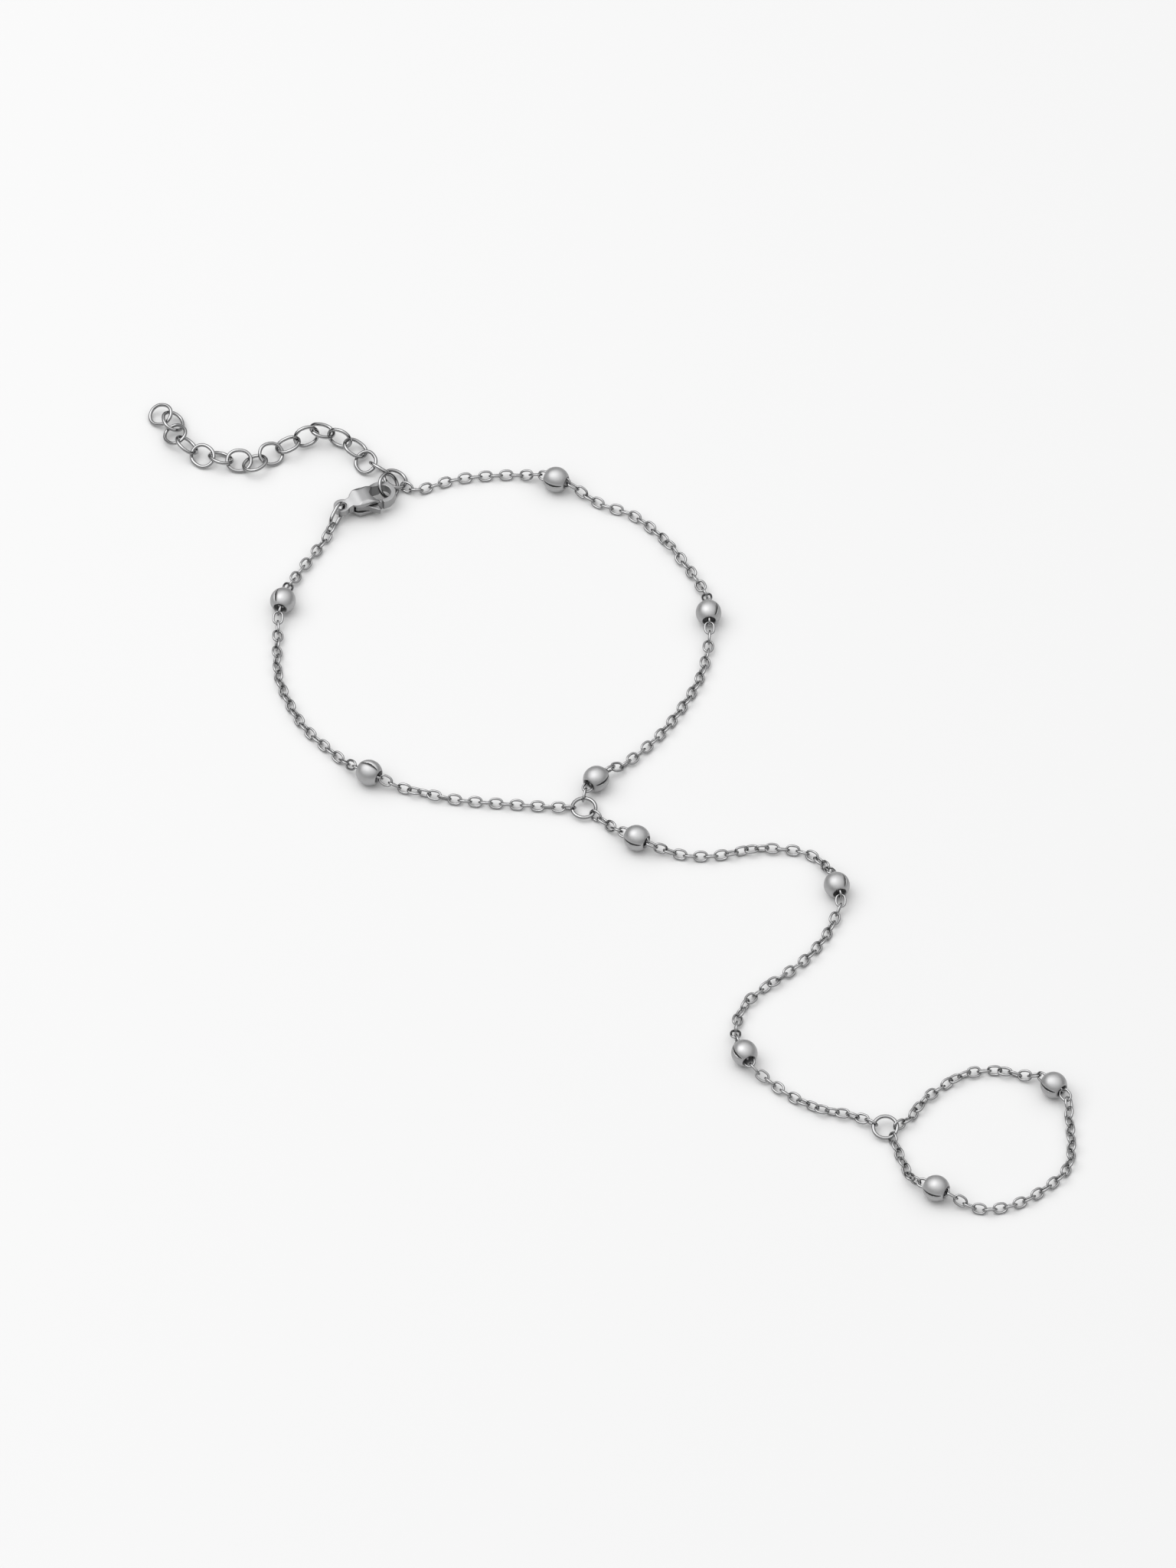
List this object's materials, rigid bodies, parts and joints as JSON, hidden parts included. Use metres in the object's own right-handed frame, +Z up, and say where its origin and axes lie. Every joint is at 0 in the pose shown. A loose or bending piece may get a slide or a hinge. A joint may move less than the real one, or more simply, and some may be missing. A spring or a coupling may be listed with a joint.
{
  "type": "hand chain bracelet",
  "caption": "Beaded fine-chain wrist loop with lobster clasp and extender, joined by a beaded chain over the back of the hand to a beaded finger loop.",
  "frame": {"origin": "on the surface under the centre of the laid-out bracelet's bounding box", "axes": "+Z up from the surface, +X to the right across the laid-out bracelet, +Y from the finger loop towards the extender"},
  "size_m": [0.1146, 0.1296, 0.0033],
  "materials": {
    "polished_steel": "polished stainless steel",
    "clasp_steel": "satin stainless steel"
  },
  "bodies": {
    "bracelet": {"bead_1": "polished_steel", "bead_2": "polished_steel", "bead_3": "polished_steel", "bead_4": "polished_steel", "bead_5": "polished_steel", "bead_6": "polished_steel", "bead_7": "polished_steel", "bead_8": "polished_steel", "bead_9": "polished_steel", "bead_10": "polished_steel", "centre_ring": "polished_steel", "finger_ring": "polished_steel", "end_ring": "polished_steel", "held_ring": "polished_steel", "extender_link_1": "polished_steel", "extender_link_2": "polished_steel", "extender_link_3": "polished_steel", "extender_link_4": "polished_steel", "extender_link_5": "polished_steel", "extender_link_6": "polished_steel", "extender_link_7": "polished_steel", "extender_link_8": "polished_steel", "extender_link_9": "polished_steel", "extender_link_10": "polished_steel", "extender_link_11": "polished_steel", "extender_link_12": "polished_steel", "extender_link_13": "polished_steel", "extender_link_14": "polished_steel", "extender_link_15": "polished_steel", "extender_link_16": "polished_steel", "eye_link": "polished_steel", "clasp_body": "clasp_steel", "clasp_pin": "clasp_steel", "left_wrist_chain": "polished_steel", "right_wrist_chain": "polished_steel", "hand_chain": "polished_steel", "finger_chain": "polished_steel"},
    "lever": {"clasp_lever": "clasp_steel"}
  },
  "joints": [
    {"name": "clasp_lever_hinge", "type": "hinge", "parent": "bracelet", "child": "lever", "pos_m": [-0.03073, 0.04815, 0.0015], "axis": [0, 0, 1], "range_deg": [0, 30], "stiffness_Nm_per_rad": 0.0015, "springref_deg": -17.19}
  ]
}
